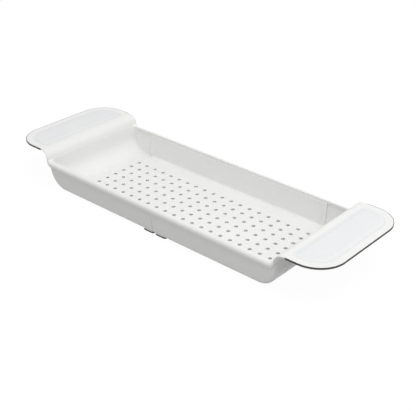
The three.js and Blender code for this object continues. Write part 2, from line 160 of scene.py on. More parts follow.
# Rubber pad under the wing
PAD_SETBACK = 2.8
PAD_THICKNESS = 0.9
PAD_LIP_WIDTH = 1.2
PAD_LIP_DROP = 0.4
PAD_CLEARANCE = 0.1
PAD_INNER_CORNER = 2.0
PAD_EDGE_ROUND = 0.6

# Smoothness of the curves
FILLET_STEPS = 12
LIP_STEPS = 3
RIM_INNER_STEPS = 8
RIM_OUTER_STEPS = 14
SKIRT_STEPS = 4
RISE_STEPS = 36
UPRIGHT_STEPS = 3
CORNER_RISE_STEPS = 5
CREST_FOOT_STEPS = 10
CREST_STEPS = 24
CORNER_STEPS = 40
FOOT_CORNER_STEPS = 10
EDGE_STEPS = 4
CROWN_STEPS = 10
SHARP_ANGLE = math.radians(28)
NORMAL_WEIGHT = 60

# The least upright part of the normal of a face that counts as level
LEVEL_FACE = 0.999

# Levels that follow
SHELL_BOTTOM = FOOT_THICKNESS
SHELL_FLOOR = SHELL_BOTTOM + SHELL_WALL
TRAY_BOTTOM = SHELL_FLOOR + FLOOR_CLEARANCE
TRAY_FLOOR = TRAY_BOTTOM + TRAY_WALL
TRAY_TOP = TRAY_BOTTOM + TRAY_HEIGHT
TRAY_HALF_LENGTH = (HOLE_COLUMNS_PER_SHELL - 0.5) * HOLE_PITCH + HOLE_RADIUS + TRAY_END_MARGIN
RIM_UNDERSIDE = TRAY_TOP + TOP_CLEARANCE
RIM_CREST_HEIGHT = RIM_UNDERSIDE + RIM_LIP_HEIGHT
RISE_START = TRAY_HALF_LENGTH + RISE_RUN_IN
RISE_DISTANCE = RISE_START + RISE_RADIUS
RISE_CENTRE_HEIGHT = SHELL_FLOOR + RISE_RADIUS
CREST_CENTRE_HEIGHT = WING_HEIGHT - CREST_RADIUS
CREST_ARC_START = CREST_CENTRE_HEIGHT + CREST_RADIUS * math.sin(CREST_TILT)
CREST_FOOT = RIM_CREST_HEIGHT + CREST_FOOT_RISE
CREST_SLOPE = (CREST_ARC_START - CREST_FOOT) / math.cos(CREST_TILT)
CREST_ARC_INSET = CREST_SLOPE * math.sin(CREST_TILT) + CREST_RADIUS * math.cos(CREST_TILT)
CREST_CENTRE = RISE_DISTANCE + CREST_ARC_INSET
WING_END = CREST_CENTRE + WING_LENGTH
WING_CORNER_RADIUS = WING_LENGTH * WING_CORNER_SHARE
GRIP_INNER_END = CREST_CENTRE + GRIP_SETBACK
PAD_INNER_END = CREST_CENTRE + PAD_SETBACK
SKIRT_BOTTOM = RIM_CREST_HEIGHT - SKIRT_DEPTH
GROOVE_TOP = RIM_CREST_HEIGHT - SKIRT_DEPTH * GROOVE_DEPTH_SHARE


def tray_inner(z):
    return TRAY_HALF_WIDTH + (z - TRAY_FLOOR) * math.tan(LEAN)


def tray_outer(z):
    return tray_inner(z) + TRAY_WALL


def shell_inner(z):
    return tray_outer(z) + WALL_CLEARANCE


def shell_outer(z):
    return shell_inner(z) + SHELL_WALL


RIM_INNER_HALF_WIDTH = shell_inner(RIM_UNDERSIDE) - RIM_LIP_OVERHANG
RIM_SHOULDER_HALF_WIDTH = RIM_INNER_HALF_WIDTH + RIM_SHOULDER
RIM_OUTER_HALF_WIDTH = RIM_SHOULDER_HALF_WIDTH + RIM_ROLL_WIDTH
WING_HALF_WIDTH = RIM_OUTER_HALF_WIDTH - WING_NARROWING
FOOT_OUTER_HALF_WIDTH = TRAY_HALF_WIDTH + FOOT_OUTER_OFFSET


def arc(start, end, steps):
    return [start + (end - start) * i / steps for i in range(steps + 1)]


def lerp(a, b, share):
    return a + (b - a) * share


def smoothstep(value, low, high):
    share = min(max((value - low) / (high - low), 0.0), 1.0)
    return share * share * (3 - 2 * share)


# Meshes

def mesh_object(name, points, faces):
    """An object from points in millimetres."""
    mesh = bpy.data.meshes.new(name)
    mesh.from_pydata([Vector(p) * MM for p in points], [], faces)
    mesh.validate()
    obj = bpy.data.objects.new(name, mesh)
    bpy.context.scene.collection.objects.link(obj)
    return obj


def bake(obj):
    """The mesh with its modifiers applied."""
    depsgraph = bpy.context.evaluated_depsgraph_get()
    baked = bpy.data.meshes.new_from_object(obj.evaluated_get(depsgraph))
    obj.modifiers.clear()
    old = obj.data
    obj.data = baked
    bpy.data.meshes.remove(old)


def combine(obj, others, operation):
    """A boolean with each of the others, which are used up."""
    for other in others:
        modifier = obj.modifiers.new(operation, "BOOLEAN")
        modifier.operation = operation
        modifier.solver = "MANIFOLD"
        modifier.object = other
    bpy.context.view_layer.update()
    bake(obj)
    for other in others:
        mesh = other.data
        bpy.data.objects.remove(other)
        bpy.data.meshes.remove(mesh)
    return obj


def soften(obj):
    """Smooth shading, with sharp edges kept crisp and flat faces kept flat."""
    obj.data.shade_smooth()
    obj.data.set_sharp_from_angle(angle=SHARP_ANGLE)
    modifier = obj.modifiers.new("weighted", "WEIGHTED_NORMAL")
    modifier.keep_sharp = True
    modifier.weight = NORMAL_WEIGHT
    bpy.context.view_layer.update()
    bake(obj)


def divide_floor(obj):
    """Splits the faces of a flat floor, so that each one will hold a single drain hole."""
    mesh = bmesh.new()
    mesh.from_mesh(obj.data)
    columns = range(-HOLE_COLUMNS_PER_SHELL, HOLE_COLUMNS_PER_SHELL + 1)
    rows = range(HOLE_ROWS + 1)
    planes = [(Vector((1, 0, 0)), column * HOLE_PITCH) for column in columns]
    planes += [(Vector((0, 1, 0)), (row - HOLE_ROWS / 2) * HOLE_PITCH) for row in rows]
    for normal, distance in planes:
        faces = [
            face for face in mesh.faces
            if abs(face.normal.z) > LEVEL_FACE
            and face.calc_center_median().z < RISE_RADIUS * MM
        ]
        edges = {edge for face in faces for edge in face.edges}
        points = {point for face in faces for point in face.verts}
        bmesh.ops.bisect_plane(
            mesh,
            geom=[*faces, *edges, *points],
            plane_co=normal * distance * MM,
            plane_no=normal,
        )
    mesh.to_mesh(obj.data)
    mesh.free()


def ring_faces(start, count, rings):
    """Faces round a stack of rings of points, then its bottom and its top."""
    faces = []
    for r in range(rings - 1):
        for i in range(count):
            a = start + r * count + i
            b = start + r * count + (i + 1) % count
            faces.append((a, b, b + count, a + count))
    last = start + (rings - 1) * count
    faces.append(tuple(range(start + count - 1, start - 1, -1)))
    faces.append(tuple(range(last, last + count)))
    return faces


def stacked_rings(name, rings):
    """A closed body from rings of equal length, each ([(x, y)...], height), bottom first."""
    points = [(x, y, z) for ring, z in rings for x, y in ring]
    return mesh_object(name, points, ring_faces(0, len(rings[0][0]), len(rings)))


def prism(name, outline, bottom, top, bottom_round=0.0, crown=None):
    """A prism whose outline(inset) rounds in at its bottom.

    A crown (edge, width, drop) raises its top in an even curve inside a flat edge.
    """
    rings = []
    if bottom_round > 0:
        for angle in arc(0, QUARTER_TURN, EDGE_STEPS):
            inset = bottom_round * (1 - math.sin(angle))
            rings.append((outline(inset), bottom + bottom_round * (1 - math.cos(angle))))
    else:
        rings.append((outline(0), bottom))
    if crown:
        edge, width, drop = crown
        rings.append((outline(0), top - drop))
        for share in arc(0, 1, CROWN_STEPS):
            height = top - drop * (1 - smoothstep(share, 0, 1))
            rings.append((outline(edge + width * share), height))
    else:
        rings.append((outline(0), top))
    return stacked_rings(name, rings)


def plate_outline(x_inner, x_outer, half_width, inner_radius, outer_radius, steps, middle=0.0):
    """The outline(inset) of a plate, which has its own radii at its inner and outer corners."""
    def outline(inset):
        x_in = x_inner + inner_radius
        x_out = x_outer - outer_radius
        corners = (
            (x_in, -half_width + inner_radius, inner_radius, HALF_TURN),
            (x_out, -half_width + outer_radius, outer_radius, 3 * QUARTER_TURN),
            (x_out, half_width - outer_radius, outer_radius, 0.0),
            (x_in, half_width - inner_radius, inner_radius, QUARTER_TURN),
        )
        ring = []
        for x, y, radius, start in corners:
            for angle in arc(start, start + QUARTER_TURN, steps):
                reach = radius - inset
                ring.append((x + reach * math.cos(angle), middle + y + reach * math.sin(angle)))
        return ring
    return outline


def drain_cutter(first_column, last_column, bottom, top, rounded):
    """Round holes on the drain grid, opened out at the top where the floor is seen."""
    points = []
    faces = []
    first_row = -(HOLE_ROWS - 1) / 2
    levels = [(bottom - OVERRUN, HOLE_RADIUS)]
    if rounded:
        for angle in arc(0, QUARTER_TURN, HOLE_FLARE_STEPS):
            radius = HOLE_RADIUS + HOLE_FLARE * (1 - math.cos(angle))
            levels.append((top - HOLE_FLARE * (1 - math.sin(angle)), radius))
        levels.append((top + OVERRUN, HOLE_RADIUS + HOLE_FLARE))
    else:
        levels.append((top + OVERRUN, HOLE_RADIUS))
    for column in range(first_column, last_column + 1):
        for row in range(HOLE_ROWS):
            x = (column + 0.5) * HOLE_PITCH
            y = (first_row + row) * HOLE_PITCH
            start = len(points)
            for z, radius in levels:
                for i in range(HOLE_SIDES):
                    angle = 2 * math.pi * (i + 0.5) / HOLE_SIDES
                    across = radius * math.cos(angle)
                    points.append((x + across, y + radius * math.sin(angle), z))
            faces += ring_faces(start, HOLE_SIDES, len(levels))
    return mesh_object("drain_cutter", points, faces)


def body_from_half_sections(name, sections, flat_end):
    """A closed body from half sections, mirrored in Y and capped flat at the first one.

    The last one is capped flat as well, or else strips join its two halves.
    """
    count = len(sections[0])
    points = []
    for section in sections:
        points.extend(section)
        points.extend((x, -y, z) for x, y, z in section)
    faces = []

    def right(i, k):
        return i * 2 * count + k

    def left(i, k):
        return right(i, k) + count

    end = count - 1
    last = len(sections) - 1
    for i in range(last):
        for k in range(end):
            faces.append((right(i, k), right(i + 1, k), right(i + 1, k + 1), right(i, k + 1)))
            faces.append((left(i, k), left(i, k + 1), left(i + 1, k + 1), left(i + 1, k)))
        faces.append((left(i, 0), left(i + 1, 0), right(i + 1, 0), right(i, 0)))
        faces.append((right(i, end), right(i + 1, end), left(i + 1, end), left(i, end)))
    ring = [right(0, k) for k in range(count)] + [left(0, k) for k in range(end, -1, -1)]
    faces.append(tuple(ring))
    if flat_end:
        ring = [right(last, k) for k in range(count)]
        ring += [left(last, k) for k in range(end, -1, -1)]
        faces.append(tuple(reversed(ring)))
    else:
        for k in range(end):
            faces.append((right(last, k), left(last, k), left(last, k + 1), right(last, k + 1)))
    return mesh_object(name, points, faces)


# Half sections of an end shell

def flat_place(x):
    return lambda depth, y: (x, y, SHELL_FLOOR + depth)


def rise_place(angle):
    def place(depth, y):
        reach = RISE_RADIUS - depth
        x = RISE_START + reach * math.sin(angle)
        return (x, y, RISE_CENTRE_HEIGHT - reach * math.cos(angle))
    return place


def upright_place(height):
    return lambda depth, y: (RISE_DISTANCE - depth, y, height)


def corner_curve(place, base, radius, half_width_at):
    """The fillet between a floor at a depth and the leaning wall beside it."""
    centre_height = place(base + radius, 0)[2]
    centre = half_width_at(centre_height) - radius / math.cos(LEAN)
    curve = []
    for angle in arc(0, QUARTER_TURN - LEAN, FILLET_STEPS):
        depth = base + radius * (1 - math.cos(angle))
        curve.append(place(depth, centre + radius * math.sin(angle)))
    return curve


def fillets_at(z):
    """The inner and the outer fillet, which change from the floor to the rim."""
    fade = smoothstep(z, FILLET_FADE_HEIGHT, RIM_UNDERSIDE)
    inner = SHELL_INNER_FILLET * lerp(1, INNER_FILLET_AT_RIM, fade)
    return inner, SHELL_OUTER_FILLET * lerp(1, OUTER_FILLET_AT_RIM, fade)


def basin_section(place, bead=0.0, flush=0.0, rim_x=None):
    """Four runs: up the inside to the crest, over the roll, round the skirt, and back under.

    flush brings the wall out to the lip at rim level, and rim_x moves the rim.
    """
    inner_fillet, outer_fillet = fillets_at(place(0, 0)[2])

    def inner_at(z):
        level = smoothstep(z, FILLET_FADE_HEIGHT, RIM_UNDERSIDE)
        return shell_inner(z) - bead - RIM_LIP_OVERHANG * flush * level

    inside = corner_curve(place, 0, inner_fillet, inner_at)
    outside = corner_curve(place, -SHELL_WALL, outer_fillet, shell_outer)
    x = inside[-1][0] if rim_x is None else rim_x
    run_in = list(inside)
    run_in.append((x, inner_at(RIM_UNDERSIDE), RIM_UNDERSIDE))
    lip_round = RIM_LIP_ROUND * (1 - flush)
    for angle in arc(0, QUARTER_TURN, LIP_STEPS):
        y = RIM_INNER_HALF_WIDTH + lip_round * (1 - math.sin(angle))
        run_in.append((x, y, RIM_UNDERSIDE + RIM_LIP_ROUND * (1 - math.cos(angle))))
    for angle in arc(0, QUARTER_TURN, RIM_INNER_STEPS):
        y = RIM_INNER_HALF_WIDTH + RIM_INNER_ROUND * (1 - math.cos(angle))
        run_in.append((x, y, RIM_CREST_HEIGHT - RIM_INNER_ROUND * (1 - math.sin(angle))))
    run_over = []
    shoulder = RIM_CREST_HEIGHT - RIM_SHOULDER_DROP
    for angle in arc(0, QUARTER_TURN, RIM_OUTER_STEPS):
        y = RIM_SHOULDER_HALF_WIDTH + RIM_ROLL_WIDTH * math.sin(angle)
        run_over.append((x, y, shoulder - RIM_ROLL_DROP * (1 - math.cos(angle))))
    run_skirt = []
    skirt_inner = RIM_OUTER_HALF_WIDTH - SKIRT_THICKNESS
    for angle in arc(0, QUARTER_TURN, SKIRT_STEPS):
        y = RIM_OUTER_HALF_WIDTH - SKIRT_ROUND * (1 - math.cos(angle))
        run_skirt.append((x, y, SKIRT_BOTTOM + SKIRT_ROUND * (1 - math.sin(angle))))
    for angle in arc(0, QUARTER_TURN, SKIRT_STEPS):
        y = skirt_inner + SKIRT_ROUND * (1 - math.sin(angle))
        run_skirt.append((x, y, SKIRT_BOTTOM + SKIRT_ROUND * (1 - math.cos(angle))))
    run_under = [(x, skirt_inner, GROOVE_TOP), (x, shell_outer(GROOVE_TOP), GROOVE_TOP)]
    run_under.extend(reversed(outside))
    return run_in, run_over, run_skirt, run_under


def sheet_section(place, counts):
    """The same four runs on the sheet of the crest and the wing, by place(inset, height)."""
    run_in = [
        place(lerp(WING_EDGE_BAND, WING_ROLL_WIDTH, i / counts[0]), 0)
        for i in range(counts[0])
    ]
    run_over = []
    for angle in arc(0, QUARTER_TURN, RIM_OUTER_STEPS):
        inset = WING_ROLL_WIDTH * (1 - math.sin(angle))
        run_over.append(place(inset, -WING_ROLL_DROP * (1 - math.cos(angle))))
    edge = min(SKIRT_ROUND, (WING_SHEET - WING_ROLL_DROP) * WING_SKIRT_SHARE)
    run_skirt = []
    for angle in arc(0, QUARTER_TURN, SKIRT_STEPS):
        height = edge * (1 - math.sin(angle)) - WING_SHEET
        run_skirt.append(place(edge * (1 - math.cos(angle)), height))
    for i in range(SKIRT_STEPS + 1):
        inset = lerp(edge, SKIRT_THICKNESS, (i + 1) / (SKIRT_STEPS + 1))
        run_skirt.append(place(inset, -WING_SHEET))
    run_under = [
        place(lerp(SKIRT_THICKNESS, WING_EDGE_BAND, (i + 1) / counts[3]), -WING_SHEET)
        for i in range(counts[3])
    ]
    return run_in, run_over, run_skirt, run_under


def crest_place(angle, drop=0.0):
    """A place on the convex crest, or that far down the slope that leads to it."""
    share = (math.sin(angle) - math.sin(CREST_TILT)) / (1 - math.sin(CREST_TILT))
    half_width = lerp(RIM_OUTER_HALF_WIDTH, WING_HALF_WIDTH, share)

    def place(inset, height):
        reach = CREST_RADIUS + height
        x = CREST_CENTRE - reach * math.cos(angle) - drop * math.sin(CREST_TILT)
        z = CREST_CENTRE_HEIGHT + reach * math.sin(angle) - drop * math.cos(CREST_TILT)
        return (x, half_width - inset, z)
    return place


def wing_place(angle):
    """A place on the flat wing, round its outer corner."""
    corner_x = WING_END - WING_CORNER_RADIUS
    corner_y = WING_HALF_WIDTH - WING_CORNER_RADIUS

    def place(inset, height):
        reach = WING_CORNER_RADIUS - inset
        x = corner_x + reach * math.sin(angle)
        return (x, corner_y + reach * math.cos(angle), WING_HEIGHT + height)
    return place


def corner_section(counts):
    """The edge between basin and crest, at rim level, with the basin's rounded corner."""
    radius = fillets_at(RIM_UNDERSIDE)[0]
    level = RIM_CREST_HEIGHT
    centre_x = RISE_DISTANCE - radius
    centre_y = RIM_INNER_HALF_WIDTH - radius
    rounded = len(arc(0, QUARTER_TURN, FILLET_STEPS))
    run_in = []
    for angle in arc(0, QUARTER_TURN, FILLET_STEPS):
        x = centre_x + radius * math.cos(angle)
        run_in.append((x, centre_y + radius * math.sin(angle), level))
    straight = counts[0] - rounded
    for i in range(1, straight + 1):
        y = RIM_INNER_HALF_WIDTH + RIM_INNER_ROUND * i / straight
        run_in.append((centre_x, y, level))
    basin = basin_section(upright_place(RIM_UNDERSIDE), 0.0, 1.0, centre_x)
    return [run_in] + list(basin[1:])


def crest_foot_place(inset, height):
    """The foot of the crest, which starts higher at its sides."""
    share = smoothstep(inset, WING_ROLL_WIDTH, WING_EDGE_BAND)
    drop = CREST_SLOPE * lerp(CREST_SIDE_SLOPE_SHARE, 1, share)
    return crest_place(CREST_TILT, drop)(inset, height)


def between(first, last, steps, bent=False):
    """Sections between two, without them; bent ones leave level and arrive upright."""
    a = np.array(first)
    b = np.array(last)
    middle = (a + b) / 2
    if bent:
        middle[:, 0] = b[:, 0]
        middle[:, 2] = a[:, 2]
    sections = []
    for i in range(1, steps):
        t = i / steps
        section = a * (1 - t) ** 2 + middle * 2 * t * (1 - t) + b * t ** 2
        sections.append([tuple(p) for p in section])
    return sections


def shell_sections():
    """Half sections from the mouth of a shell at the seam to the end of its wing."""
    bead_end = SEAM_HALF_GAP + BEAD_WIDTH
    basins = [
        basin_section(flat_place(SEAM_HALF_GAP), BEAD_HEIGHT, 0.0, RIM_SEAM_HALF_GAP),
        basin_section(flat_place(bead_end), BEAD_HEIGHT),
        basin_section(flat_place(bead_end + BEAD_BLEND)),
    ]
    places = [(rise_place(angle), angle) for angle in arc(0, QUARTER_TURN, RISE_STEPS)]
    for i in range(1, UPRIGHT_STEPS + 1):
        height = lerp(RISE_CENTRE_HEIGHT, RIM_UNDERSIDE, i / (UPRIGHT_STEPS + 1))
        places.append((upright_place(height), QUARTER_TURN))
    rim_end = RISE_DISTANCE - fillets_at(RIM_UNDERSIDE)[0]
    for i, (place, angle) in enumerate(places):
        flush = smoothstep(angle, QUARTER_TURN / 2, QUARTER_TURN)
        rim_x = lerp(RISE_START, rim_end, math.sin(QUARTER_TURN * i / len(places)))
        basins.append(basin_section(place, 0.0, flush, rim_x))
    counts = [len(run) for run in basins[0]]
    edge = corner_section(counts)
    sheet_places = [crest_foot_place]
    sheet_places += [crest_place(a) for a in arc(CREST_TILT, QUARTER_TURN, CREST_STEPS)]
    sheet_places += [wing_place(a) for a in arc(0, QUARTER_TURN, CORNER_STEPS)[1:]]
    sheets = [sheet_section(place, counts) for place in sheet_places]
    flat = [[p for run in section for p in run] for section in basins]
    edge = [p for run in edge for p in run]
    sheet = [[p for run in section for p in run] for section in sheets]
    corner = between(flat[-1], edge, CORNER_RISE_STEPS)
    crest_foot = between(edge, sheet[0], CREST_FOOT_STEPS, bent=True)
    return flat + corner + [edge] + crest_foot + sheet


def basin_fill():
    """The hollow of the shell near its mouth, let out a little, which trims the foot bosses."""
    length = FOOT_MOUTH_DISTANCE + FOOT_LENGTH + FOOT_WIDTH

    def side_at(z):
        return shell_inner(z) + BOSS_SINK

    def half(x):
        curve = corner_curve(flat_place(x), -BOSS_SINK, SHELL_INNER_FILLET + BOSS_SINK, side_at)
        top = (x, side_at(RIM_UNDERSIDE), RIM_UNDERSIDE)
        middle = (x, side_at(RIM_UNDERSIDE) / 2, RIM_UNDERSIDE)
        return [middle, top] + curve[::-1]

    return body_from_half_sections("basin_fill", [half(0.0), half(length)], True)


def foot_plan(side, margin):
    x_inner = SEAM_HALF_GAP + FOOT_MOUTH_DISTANCE - margin
    middle = side * (FOOT_OUTER_HALF_WIDTH - FOOT_WIDTH / 2)
    corner = FOOT_CORNER_RADIUS + margin
    half = FOOT_WIDTH / 2 + margin
    x_outer = x_inner + FOOT_LENGTH + 2 * margin
    return plate_outline(x_inner, x_outer, half, corner, corner, FOOT_CORNER_STEPS, middle)


def foot_piece(name, side):
    return prism(name, foot_plan(side, 0.0), 0.0, FOOT_THICKNESS, FOOT_EDGE_ROUND)


def grip_plan(grow):
    return plate_outline(
        GRIP_INNER_END - grow,
        WING_END - GRIP_INSET + grow,
        WING_HALF_WIDTH - GRIP_INSET + grow,
        GRIP_INNER_CORNER + grow,
        WING_CORNER_RADIUS - GRIP_INSET + grow,
        CORNER_STEPS,
    )


def grip_piece(name):
    top = WING_HEIGHT + GRIP_PROUD
    crown = (GRIP_FLAT_EDGE, GRIP_ROLL_WIDTH, GRIP_ROLL_DROP)
    return prism(name, grip_plan(0.0), top - GRIP_THICKNESS, top, 0.0, crown)


def grip_recess():
    bottom = WING_HEIGHT + GRIP_PROUD - GRIP_THICKNESS
    return prism("grip_recess", grip_plan(GRIP_SIDE_CLEARANCE), bottom, WING_HEIGHT + OVERRUN)


def pad_plan(x_inner, outset):
    return plate_outline(
        x_inner,
        WING_END + outset,
        WING_HALF_WIDTH + outset,
        PAD_INNER_CORNER,
        WING_CORNER_RADIUS + outset,
        CORNER_STEPS,
    )


def pad_piece(name):
    seat = WING_HEIGHT - WING_SHEET
    lip_top = WING_HEIGHT - PAD_LIP_DROP
    bottom = seat - PAD_THICKNESS
    plate = prism(name, pad_plan(PAD_INNER_END, 0.0), bottom, lip_top, PAD_EDGE_ROUND)
    room_plan = pad_plan(PAD_INNER_END - OVERRUN, -PAD_LIP_WIDTH)
    sheet = prism("pad_room", room_plan, seat, lip_top + OVERRUN)
    return combine(plate, [sheet], "DIFFERENCE")


def pad_rebate():
    """The room for the lip of the pad, round the edge of the wing."""
    seat = WING_HEIGHT - WING_SHEET
    top = WING_HEIGHT - PAD_LIP_DROP + PAD_CLEARANCE
    inner = PAD_INNER_END - PAD_CLEARANCE
    whole = prism("pad_rebate", pad_plan(inner, OVERRUN), seat - OVERRUN, top)
    kept_plan = pad_plan(inner - OVERRUN, -PAD_LIP_WIDTH - PAD_CLEARANCE)
    kept = prism("pad_kept", kept_plan, seat - 2 * OVERRUN, top + OVERRUN)
    return combine(whole, [kept], "DIFFERENCE")


def shell_piece(name):
    body = body_from_half_sections(name, shell_sections(), False)
    bosses = []
    boss_top = SHELL_BOTTOM + BOSS_ROOT
    for side in (1, -1):
        boss = prism("boss", foot_plan(side, BOSS_MARGIN), SHELL_BOTTOM, boss_top)
        bosses.append(combine(boss, [basin_fill()], "DIFFERENCE"))
    divide_floor(combine(body, bosses, "UNION"))
    cutters = [
        drain_cutter(0, HOLE_COLUMNS_PER_SHELL - 1, SHELL_BOTTOM, SHELL_FLOOR, False),
        grip_recess(),
        pad_rebate(),
    ]
    return combine(body, cutters, "DIFFERENCE")


# Centre tray

def tray_section(x, flare, ramp):
    """Half section, with its outside let out by a flare and its floor let down by a ramp."""
    def place(depth, y):
        return (x, y, TRAY_FLOOR + depth)

    def outer_at(z):
        return tray_outer(z) + TRAY_END_FLARE * flare

    outer_fillet = TRAY_INNER_FILLET + TRAY_WALL
    base = -TRAY_WALL - TRAY_END_FLARE_DEPTH * flare
    inner = corner_curve(place, 0, TRAY_INNER_FILLET, tray_inner)
    outer = corner_curve(place, base, outer_fillet, outer_at)
    half = [(px, py, pz - TRAY_END_RAMP_DROP * ramp * (1 - i / FILLET_STEPS))
            for i, (px, py, pz) in enumerate(inner)]
    for angle in arc(0, QUARTER_TURN, EDGE_STEPS):
        inset = TRAY_TOP_ROUND * (1 - math.sin(angle))
        z = TRAY_TOP - inset
        half.append((x, tray_inner(z) + TRAY_TOP_ROUND * (1 - math.cos(angle)), z))
    for angle in arc(0, QUARTER_TURN, EDGE_STEPS):
        z = TRAY_TOP - TRAY_TOP_ROUND * (1 - math.cos(angle))
        half.append((x, outer_at(z) - TRAY_TOP_ROUND * (1 - math.sin(angle)), z))
    half.extend(reversed(outer))
    return half


def tray_sections():
    """From one end to the other: each end is flared, with a ramp down from its floor."""
    ends = [(0.0, 1.0, 1.0)]
    for share in TRAY_END_RAMP_SHARES:
        ends.append((TRAY_END_RAMP * share, 1.0, (1 - share) ** 2))
    ends.append((TRAY_END_FLARE_LENGTH, 1.0, 0.0))
    ends.append((TRAY_END_FLARE_LENGTH + TRAY_END_FLARE, 0.0, 0.0))
    ends.sort()
    left = [tray_section(-TRAY_HALF_LENGTH + d, flare, ramp) for d, flare, ramp in ends]
    right = [tray_section(TRAY_HALF_LENGTH - d, flare, ramp) for d, flare, ramp in ends]
    return left + right[::-1]


def tray_bead(end, side):
    """The bead on the outside of a wall, which stops the slide."""
    low = TRAY_BOTTOM + TRAY_INNER_FILLET + TRAY_WALL + TRAY_BEAD_END_CLEARANCE
    high = TRAY_TOP - TRAY_BEAD_END_CLEARANCE
    start = TRAY_BEAD_POSITION if end > 0 else -TRAY_BEAD_POSITION - BEAD_WIDTH
    points = []
    for x in (start, start + BEAD_WIDTH):
        points.append((x, side * (tray_outer(low) - TRAY_BEAD_ROOT), low))
        points.append((x, side * (tray_outer(low) + BEAD_HEIGHT), low))
        points.append((x, side * (tray_outer(high) + BEAD_HEIGHT), high))
        points.append((x, side * (tray_outer(high) - TRAY_BEAD_ROOT), high))
    faces = [(3, 2, 1, 0), (4, 5, 6, 7), (0, 1, 5, 4), (1, 2, 6, 5), (2, 3, 7, 6), (3, 0, 4, 7)]
    if side < 0:
        faces = [face[::-1] for face in faces]
    return mesh_object("bead", points, faces)


def tray_rib(end, side):
    """A ridge up the inside of a wall, which fades out at its top."""
    low = TRAY_FLOOR - RIB_ROOT
    high = TRAY_TOP - RIB_TOP_CLEARANCE
    middle = end * (TRAY_HALF_LENGTH - RIB_SETBACK - RIB_WIDTH / 2)
    half = RIB_WIDTH / 2
    rings = []
    for z, share in ((low, 1.0), (high - RIB_TOP_FADE, 1.0), (high, 0.0)):
        crest = RIB_PROUD * share
        ring = [
            (middle - half, side * (tray_inner(z) + RIB_ROOT)),
            (middle - half, side * tray_inner(z)),
            (middle - RIB_NOSE, side * (tray_inner(z) - crest)),
            (middle + RIB_NOSE, side * (tray_inner(z) - crest)),
            (middle + half, side * tray_inner(z)),
            (middle + half, side * (tray_inner(z) + RIB_ROOT)),
        ]
        rings.append((ring if side > 0 else ring[::-1], z))
    return stacked_rings("rib", rings)


def tray_piece(name):
    body = body_from_half_sections(name, tray_sections(), True)
    raised = [
        make(end, side)
        for make in (tray_bead, tray_rib)
        for end in (-1, 1)
        for side in (-1, 1)
    ]
    divide_floor(combine(body, raised, "UNION"))
    drains = drain_cutter(
        -HOLE_COLUMNS_PER_SHELL, HOLE_COLUMNS_PER_SHELL - 1, TRAY_BOTTOM, TRAY_FLOOR, True
    )
    return combine(body, [drains], "DIFFERENCE")


# Materials

TONE_DETAIL = 4.0
TONE_ROUGHNESS = 0.55
GLOSS_DETAIL = 3.0
GRAIN_ROUGHNESS = 0.6
NOISE_LOW = 0.3
NOISE_HIGH = 0.7

# Sockets of a Mix node for colours, whose names repeat
MIX_SHARE = 0
MIX_FIRST = 6
MIX_SECOND = 7
MIX_RESULT = 2


def new_material(name):
    material = bpy.data.materials.new(name)
    material.use_nodes = True
    nodes = material.node_tree.nodes
    shader = nodes["Principled BSDF"]
    return material, nodes, material.node_tree.links, shader


def noise(nodes, links, vector, scale, detail, roughness):
    node = nodes.new("ShaderNodeTexNoise")
    node.inputs["Scale"].default_value = scale
    node.inputs["Detail"].default_value = detail
    node.inputs["Roughness"].default_value = roughness
    links.new(vector, node.inputs["Vector"])
    return node.outputs["Fac"]


def ranged(nodes, links, value, low, high):
    """The usual reach of a noise, brought to a range."""
    node = nodes.new("ShaderNodeMapRange")
    node.inputs["From Min"].default_value = NOISE_LOW
    node.inputs["From Max"].default_value = NOISE_HIGH
    node.inputs["To Min"].default_value = low
    node.inputs["To Max"].default_value = high
    links.new(value, node.inputs["Value"])
    return node.outputs["Result"]


def two_tones(nodes, links, value, dark, light):
    node = nodes.new("ShaderNodeMix")
    node.data_type = "RGBA"
    node.inputs[MIX_FIRST].default_value = (*dark, 1)
    node.inputs[MIX_SECOND].default_value = (*light, 1)
    links.new(value, node.inputs[MIX_SHARE])
    return node.outputs[MIX_RESULT]


def surface(name, dark, light, tone_scale, rough_low, rough_high, rough_scale, bumps, extras):
    """Principled material: two close tones, uneven gloss and one or more layers of bump.

    Each layer of bump has a scale, a detail, a distance in metres and a strength.
    """
    material, nodes, links, shader = new_material(name)
    where = nodes.new("ShaderNodeTexCoord").outputs["Object"]
    tone = noise(nodes, links, where, tone_scale, TONE_DETAIL, TONE_ROUGHNESS)
    share = ranged(nodes, links, tone, 0.0, 1.0)
    links.new(two_tones(nodes, links, share, dark, light), shader.inputs["Base Color"])
    gloss = noise(nodes, links, where, rough_scale, GLOSS_DETAIL, GRAIN_ROUGHNESS)
    links.new(ranged(nodes, links, gloss, rough_low, rough_high), shader.inputs["Roughness"])
    normal = None
    for scale, detail, distance, strength in bumps:
        grain = noise(nodes, links, where, scale, detail, GRAIN_ROUGHNESS)
        bump = nodes.new("ShaderNodeBump")
        bump.inputs["Strength"].default_value = strength
        bump.inputs["Distance"].default_value = distance
        links.new(grain, bump.inputs["Height"])
        if normal is not None:
            links.new(normal, bump.inputs["Normal"])
        normal = bump.outputs["Normal"]
    links.new(normal, shader.inputs["Normal"])
    for key, value in extras.items():
        shader.inputs[key].default_value = value
    return material


